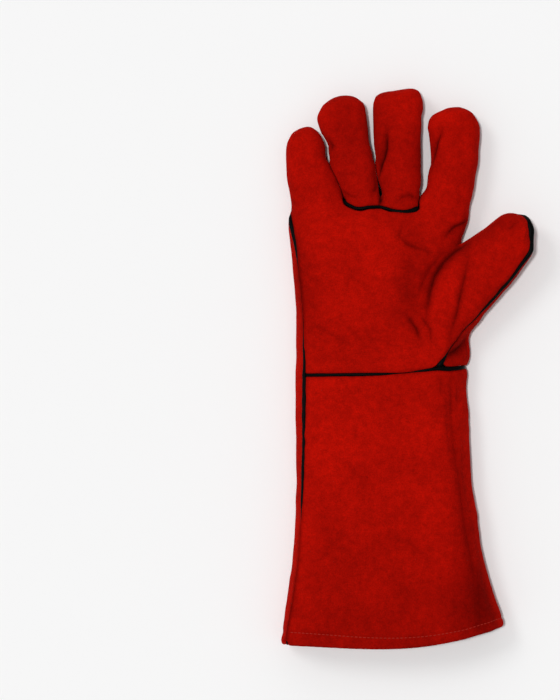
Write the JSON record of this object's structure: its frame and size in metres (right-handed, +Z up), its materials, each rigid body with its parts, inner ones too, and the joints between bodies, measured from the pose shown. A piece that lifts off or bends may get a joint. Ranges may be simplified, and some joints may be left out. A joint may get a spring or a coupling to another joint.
{
  "type": "leather welding gauntlet",
  "caption": "Long suede welding gauntlet for the right hand, with welted seams, set-in finger fronts and a flared cuff with a turned hem.",
  "frame": {"origin": "middle of the gauntlet's outline seen from above, on the surface that it lies on", "axes": "+Y from the cuff to the fingertips, +X towards the thumb, +Z up out of the palm"},
  "size_m": [0.1856, 0.4074, 0.04],
  "materials": {
    "red_suede": "napped split leather, matt",
    "black_welt": "smooth folded strip, satin"
  },
  "bodies": {
    "root": {"back": "red_suede", "palm": "red_suede", "middle_fingers_front": "red_suede", "thumb_back": "red_suede", "cuff_front": "red_suede", "welt_closing": "black_welt", "welt_thumb": "black_welt", "welt_wrist": "black_welt", "welt_finger_base": "black_welt"}
  },
  "joints": []
}
